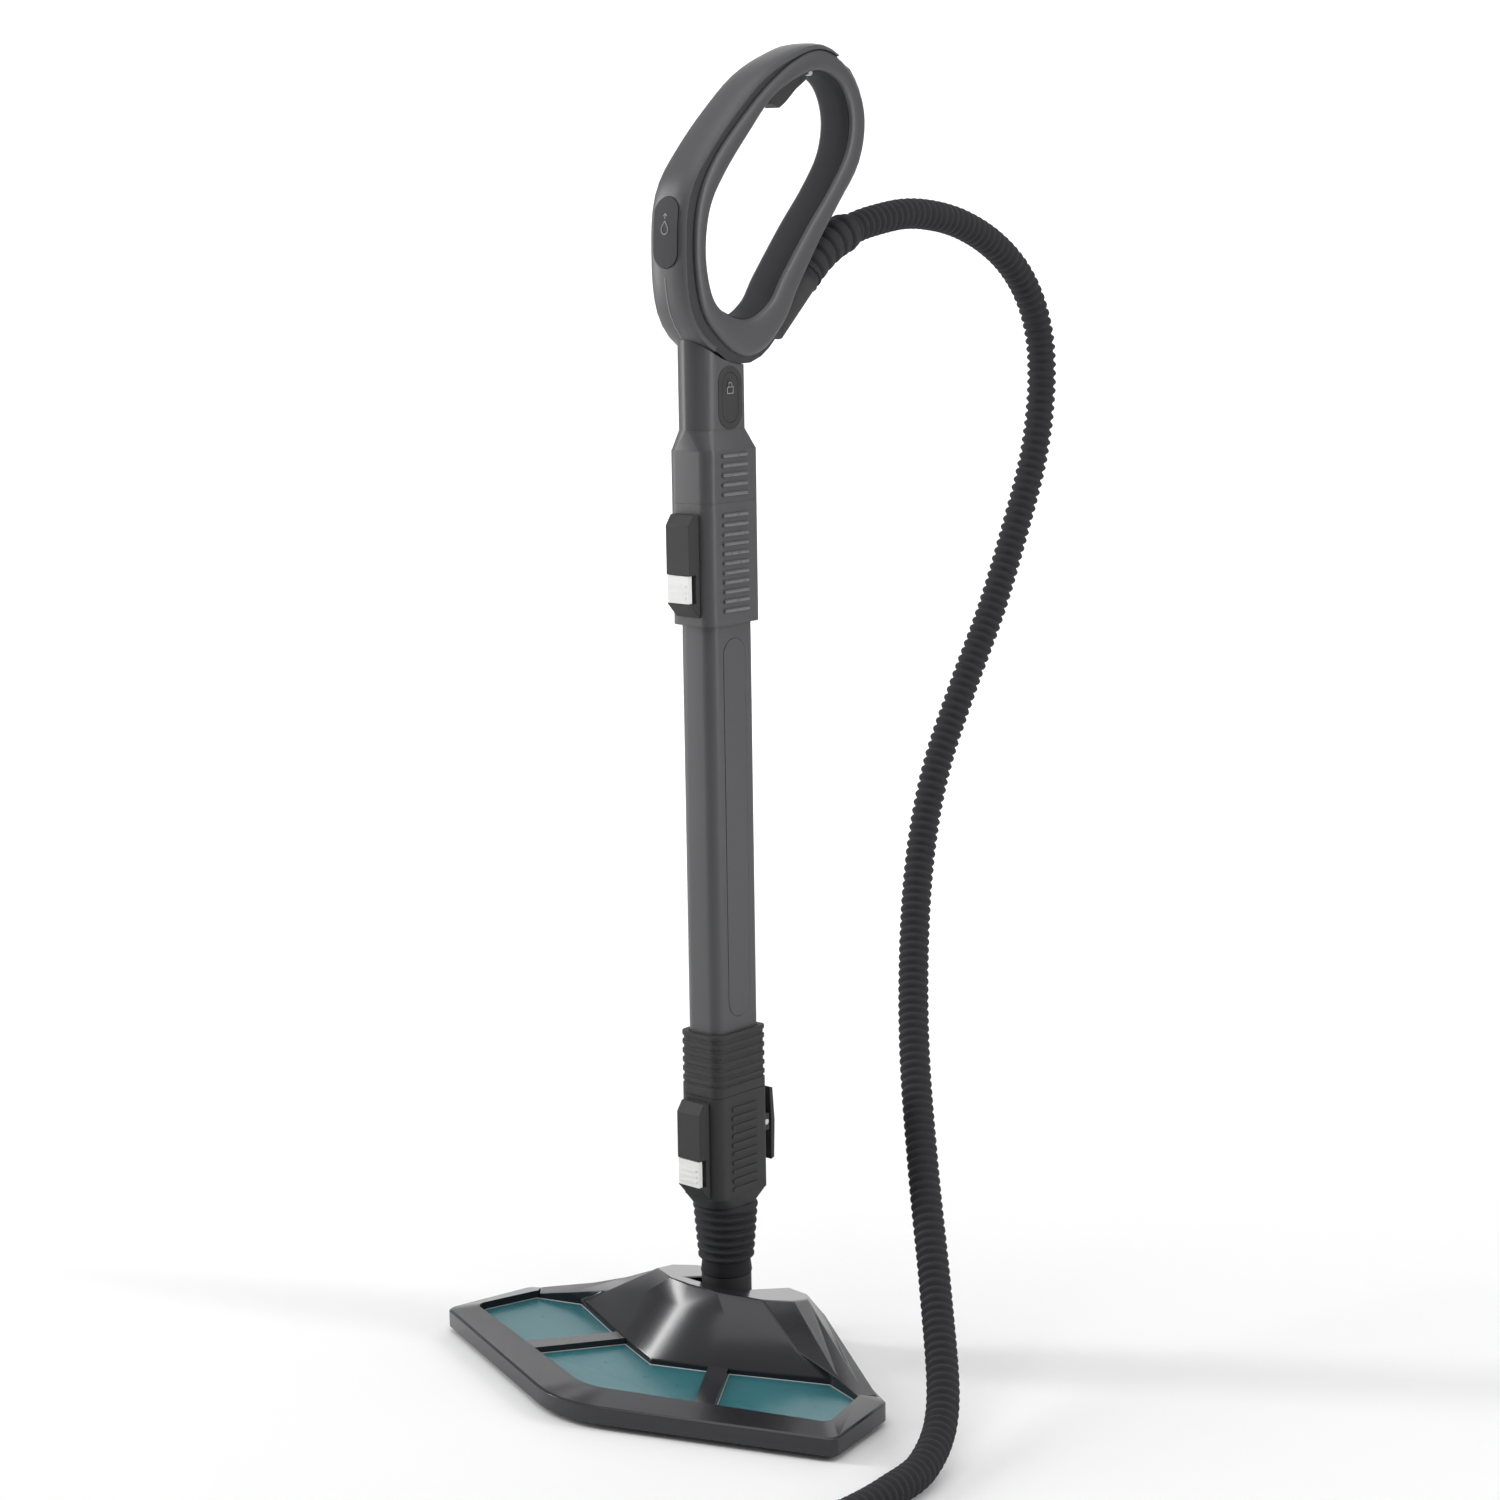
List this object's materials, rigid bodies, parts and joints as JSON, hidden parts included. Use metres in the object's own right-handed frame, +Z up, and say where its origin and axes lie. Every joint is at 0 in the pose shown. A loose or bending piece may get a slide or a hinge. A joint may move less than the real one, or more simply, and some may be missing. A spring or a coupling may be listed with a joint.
{
  "type": "steam mop",
  "caption": "Steam floor mop with a loop handle, sprung buttons, a slim tube, a swivelling ribbed neck, a delta floor brush and a coiled steam hose.",
  "frame": {"origin": "on the floor under the neck's swivel axis, at the middle of the floor strip's underside", "axes": "+Z up along the tube with the handle parked upright, -Y to the front where the brush's nose points, +X to the side"},
  "size_m": [0.6799, 0.7643, 0.9039],
  "materials": {
    "gloss_black": "gloss",
    "black_plastic": "fine matt texture",
    "window_teal": "clear tinted",
    "bristle_grey": "matt",
    "soft_rubber": "matt",
    "seal_red": "matt",
    "hook_fabric": "hook tape",
    "spring_steel": "drawn",
    "charcoal_satin": "satin",
    "dark_core": "matt",
    "pipe_grey": "plain",
    "white_button": "satin",
    "hose_black": "smooth"
  },
  "bodies": {
    "brush": {"base_frame": "gloss_black", "sole_plate": "black_plastic", "dome_cover": "gloss_black", "window_left": "window_teal", "window_right": "window_teal", "window_nose": "window_teal", "steam_duct": "black_plastic", "bristles_front": "bristle_grey", "bristles_rear": "bristle_grey", "floor_strip": "soft_rubber", "hook_strips": "hook_fabric", "bearing_cap_left": "black_plastic", "bearing_cap_right": "black_plastic", "pivot_pins": "spring_steel", "brush_screws": "spring_steel"},
    "yoke_body": {"yoke": "black_plastic", "retaining_ring": "spring_steel", "stem_seal": "soft_rubber"},
    "wand": {"neck_boot": "soft_rubber", "brush_socket": "black_plastic", "lower_hood": "black_plastic", "lower_spring": "spring_steel", "lower_collar": "black_plastic", "tube": "charcoal_satin", "inlay_left": "charcoal_satin", "inlay_right": "charcoal_satin", "tube_socket": "charcoal_satin", "upper_hood": "black_plastic", "upper_spring": "spring_steel", "steam_pipe": "pipe_grey", "seal_rings": "seal_red", "handle_collar": "charcoal_satin", "neck_shell": "charcoal_satin", "lock_bezel": "black_plastic", "lock_spring": "spring_steel", "loop_core": "dark_core", "cheek_left": "charcoal_satin", "cheek_right": "charcoal_satin", "front_cover": "charcoal_satin", "grip_liner": "soft_rubber", "trigger_pin": "spring_steel", "trigger_spring": "spring_steel", "hose_boss": "black_plastic", "hose_cuff": "soft_rubber", "lever_ears": "black_plastic", "lever_pin": "spring_steel", "hose_tube": "hose_black", "hose_coil": "hose_black", "hose_connector": "black_plastic"},
    "lower_release_body": {"lower_release": "white_button"},
    "upper_release_body": {"upper_release": "white_button"},
    "lock_button_body": {"lock_button": "black_plastic"},
    "steam_button_body": {"steam_button": "dark_core"},
    "trigger_body": {"trigger": "black_plastic"},
    "release_lever_body": {"release_lever": "black_plastic"}
  },
  "joints": [
    {"name": "head_pitch", "type": "hinge", "parent": "brush", "child": "yoke_body", "pos_m": [0, 0, 0.034], "axis": [-1, 0, 0], "range_deg": [0, 75]},
    {"name": "neck_swivel", "type": "hinge", "parent": "yoke_body", "child": "wand", "pos_m": [0, 0, 0.06], "axis": [0, 0, 1], "range_deg": [-80, 80]},
    {"name": "lower_release_press", "type": "slide", "parent": "wand", "child": "lower_release_body", "axis": [0, 1, 0], "range_m": [0, 0.003], "stiffness_N_per_m": 500, "springref_m": -0.002},
    {"name": "upper_release_press", "type": "slide", "parent": "wand", "child": "upper_release_body", "axis": [0, 1, 0], "range_m": [0, 0.003], "stiffness_N_per_m": 500, "springref_m": -0.002},
    {"name": "lock_button_press", "type": "slide", "parent": "wand", "child": "lock_button_body", "axis": [-1, 0, 0], "range_m": [0, 0.0015], "stiffness_N_per_m": 600, "springref_m": -0.0015},
    {"name": "steam_button_press", "type": "slide", "parent": "wand", "child": "steam_button_body", "axis": [0, 1, 0], "range_m": [0, 0.0012], "stiffness_N_per_m": 800, "springref_m": -0.001},
    {"name": "trigger_pull", "type": "hinge", "parent": "wand", "child": "trigger_body", "pos_m": [0, 0.09, 0.884], "axis": [-1, 0, 0], "range_deg": [0, 7], "stiffness_Nm_per_rad": 0.4, "springref_deg": -6.88, "deforming": ["trigger_spring"]},
    {"name": "release_lever_press", "type": "hinge", "parent": "wand", "child": "release_lever_body", "pos_m": [0, 0.032, 0.163], "axis": [-1, 0, 0], "range_deg": [0, 6], "stiffness_Nm_per_rad": 0.3, "springref_deg": -5.73}
  ]
}
